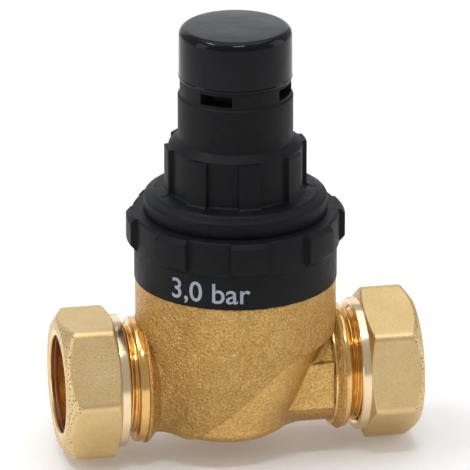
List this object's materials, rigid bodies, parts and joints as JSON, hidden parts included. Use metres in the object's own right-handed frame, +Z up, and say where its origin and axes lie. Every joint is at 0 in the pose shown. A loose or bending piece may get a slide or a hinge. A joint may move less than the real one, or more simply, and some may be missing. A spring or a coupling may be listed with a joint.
{
  "type": "pressure reducing valve",
  "caption": "In-line brass water pressure reducing valve with a compression joint at each end, a lugged black plastic bonnet, and a pull-off cap over the adjusting screw.",
  "frame": {"origin": "centre of the inlet tube stop, the shoulder in the inlet socket where the tube's end comes to rest", "axes": "+X along the tube axis with the flow, from inlet to outlet; +Z up the bonnet; +Y by the right-hand rule"},
  "size_m": [0.0822, 0.0496, 0.1011],
  "materials": {
    "cast_brass": "shot-blasted casting, grainy",
    "nut_brass": "pale forged brass, satin",
    "turned_brass": "bright turned",
    "bonnet_plastic": "satin black glass-filled nylon",
    "cap_plastic": "glossy black",
    "white_plastic": "moulded acetal",
    "seal_rubber": "matte black rubber",
    "steel": "turned stainless steel",
    "spring_steel": "oiled spring steel"
  },
  "bodies": {
    "valve": {"valve_body": "cast_brass", "cartridge_carrier": "bonnet_plastic", "spring_housing": "bonnet_plastic", "screw_bush": "turned_brass", "main_spring": "spring_steel", "diaphragm": "seal_rubber", "slip_ring": "white_plastic", "seat_ring": "steel", "cartridge_cage": "white_plastic", "cage_o_ring": "seal_rubber", "strainer_mesh": "steel"},
    "stem": {"valve_stem": "steel", "stem_nut": "steel", "lower_spring_plate": "steel", "diaphragm_washer": "steel", "disc_holder": "turned_brass", "seat_washer": "seal_rubber", "balance_o_ring": "seal_rubber"},
    "spring_plate": {"upper_spring_plate": "steel"},
    "adjuster": {"adjusting_screw": "steel"},
    "cap": {"protective_cap": "cap_plastic"},
    "inlet_ferrule": {"inlet_olive": "turned_brass"},
    "inlet_gland": {"inlet_nut": "nut_brass"},
    "outlet_ferrule": {"outlet_olive": "turned_brass"},
    "outlet_gland": {"outlet_nut": "nut_brass"}
  },
  "joints": [
    {"name": "cap_pull", "type": "slide", "parent": "valve", "child": "cap", "axis": [0, 0, 1], "range_m": [0, 0.014]},
    {"name": "screw_feed", "type": "slide", "parent": "valve", "child": "spring_plate", "axis": [0, 0, -1], "range_m": [-0.004, 0.006], "deforming": ["main_spring"]},
    {"name": "screw_turn", "type": "hinge", "parent": "spring_plate", "child": "adjuster", "pos_m": [0.022, 0, 0.07], "axis": [0, 0, -1], "range_deg": [-1153, 1729]},
    {"name": "stem_lift", "type": "slide", "parent": "valve", "child": "stem", "axis": [0, 0, 1], "range_m": [0, 0.00195], "stiffness_N_per_m": 300, "deforming": ["diaphragm"]},
    {"name": "inlet_nut_feed", "type": "slide", "parent": "valve", "child": "inlet_ferrule", "axis": [1, 0, 0], "range_m": [-0.008, 0.0012]},
    {"name": "inlet_nut_turn", "type": "hinge", "parent": "inlet_ferrule", "child": "inlet_gland", "pos_m": [-0.01, 0, 0], "axis": [1, 0, 0], "range_deg": [-1588, 239]},
    {"name": "outlet_nut_feed", "type": "slide", "parent": "valve", "child": "outlet_ferrule", "axis": [-1, 0, 0], "range_m": [-0.008, 0.0012]},
    {"name": "outlet_nut_turn", "type": "hinge", "parent": "outlet_ferrule", "child": "outlet_gland", "pos_m": [0.054, 0, 0], "axis": [-1, 0, 0], "range_deg": [-1588, 239]}
  ],
  "couplings": [
    {"joint": "screw_turn", "follows": "screw_feed", "rad_per_m": 5026.5},
    {"joint": "inlet_nut_turn", "follows": "inlet_nut_feed", "rad_per_m": 3463.7},
    {"joint": "outlet_nut_turn", "follows": "outlet_nut_feed", "rad_per_m": 3463.7}
  ]
}
